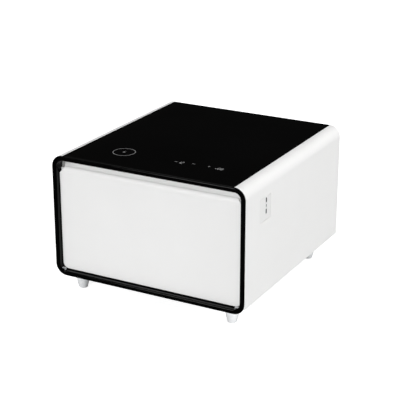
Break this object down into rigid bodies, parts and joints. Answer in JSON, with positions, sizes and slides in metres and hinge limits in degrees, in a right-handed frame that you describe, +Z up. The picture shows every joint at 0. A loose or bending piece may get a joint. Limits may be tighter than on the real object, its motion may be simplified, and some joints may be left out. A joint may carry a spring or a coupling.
{
  "type": "side_table",
  "caption": "Low white side table with a black glass top, a black framed refrigerated drawer, a side port plate and short tapered feet",
  "frame": {"origin": "on the floor, under the middle of the table's width and depth", "axes": "+X to the right as seen from the front, +Y to the back, +Z up; the drawer front faces -Y"},
  "size_m": [0.6, 0.627, 0.406],
  "materials": {
    "white_paint": "satin",
    "white_plastic": "satin",
    "black_gloss": "gloss",
    "black_glass": "gloss",
    "zinc_sheet": "satin",
    "bright_steel": "satin",
    "foot_plastic": "satin",
    "foam": "matte",
    "aluminium_sheet": "satin",
    "grey_rubber": "matte",
    "black_rubber": "matte",
    "black_plastic": "satin",
    "circuit_board": "satin",
    "copper": "satin",
    "ferrite": "matte",
    "black_enamel": "gloss"
  },
  "bodies": {
    "cabinet": {"wrap_shell": "white_paint", "cabinet_throat": "white_plastic", "cold_box_liner": "white_plastic", "temperature_sensor": "white_plastic", "side_port_plate": "white_plastic", "front_bezel": "black_gloss", "glass_top": "black_glass", "base_pan": "zinc_sheet", "back_panel": "zinc_sheet", "cabinet_rail_left": "zinc_sheet", "cabinet_rail_right": "zinc_sheet", "foot_nut_left_front": "bright_steel", "foot_nut_right_front": "bright_steel", "foot_nut_left_rear": "bright_steel", "foot_nut_right_rear": "bright_steel", "compressor_bolt_left_front": "bright_steel", "compressor_bolt_right_front": "bright_steel", "compressor_bolt_left_rear": "bright_steel", "compressor_bolt_right_rear": "bright_steel", "port_module": "bright_steel", "foot_left_front": "foot_plastic", "foot_right_front": "foot_plastic", "foot_left_rear": "foot_plastic", "foot_right_rear": "foot_plastic", "insulation_foam": "foam", "evaporator_plate": "aluminium_sheet", "condenser": "aluminium_sheet", "compressor_mount_left_front": "black_rubber", "compressor_mount_right_front": "black_rubber", "compressor_mount_left_rear": "black_rubber", "compressor_mount_right_rear": "black_rubber", "electronics_tray": "black_plastic", "port_housing": "black_plastic", "fan_shroud": "black_plastic", "board_tray": "black_plastic", "power_inlet": "black_plastic", "touch_control_board": "circuit_board", "charger_board": "circuit_board", "power_board": "circuit_board", "charging_coil": "copper", "fan_motor": "copper", "filter_drier": "copper", "capillary_tube": "copper", "discharge_pipe": "copper", "suction_pipe": "copper", "ferrite_disc": "ferrite", "compressor": "black_enamel"},
    "drawer": {"drawer_front_skin": "white_paint", "drawer_front_foam": "foam", "drawer_inner_panel": "white_plastic", "drawer_gasket": "grey_rubber", "drawer_tub": "white_plastic", "drawer_rail_left": "zinc_sheet", "drawer_rail_right": "zinc_sheet"},
    "slide_left": {"middle_rail_left": "zinc_sheet"},
    "slide_right": {"middle_rail_right": "zinc_sheet"},
    "fan": {"fan_rotor": "black_plastic"}
  },
  "joints": [
    {"name": "drawer_slide", "type": "slide", "parent": "cabinet", "child": "drawer", "axis": [0, -1, 0], "range_m": [0, 0.35]},
    {"name": "left_rail_slide", "type": "slide", "parent": "cabinet", "child": "slide_left", "axis": [0, -1, 0], "range_m": [0, 0.175]},
    {"name": "right_rail_slide", "type": "slide", "parent": "cabinet", "child": "slide_right", "axis": [0, -1, 0], "range_m": [0, 0.175]},
    {"name": "fan_spin", "type": "hinge", "parent": "cabinet", "child": "fan", "pos_m": [0.15, 0.295, 0.15], "axis": [0, 1, 0], "continuous": true}
  ],
  "couplings": [
    {"joint": "left_rail_slide", "follows": "drawer_slide", "ratio": 0.5},
    {"joint": "right_rail_slide", "follows": "drawer_slide", "ratio": 0.5}
  ]
}
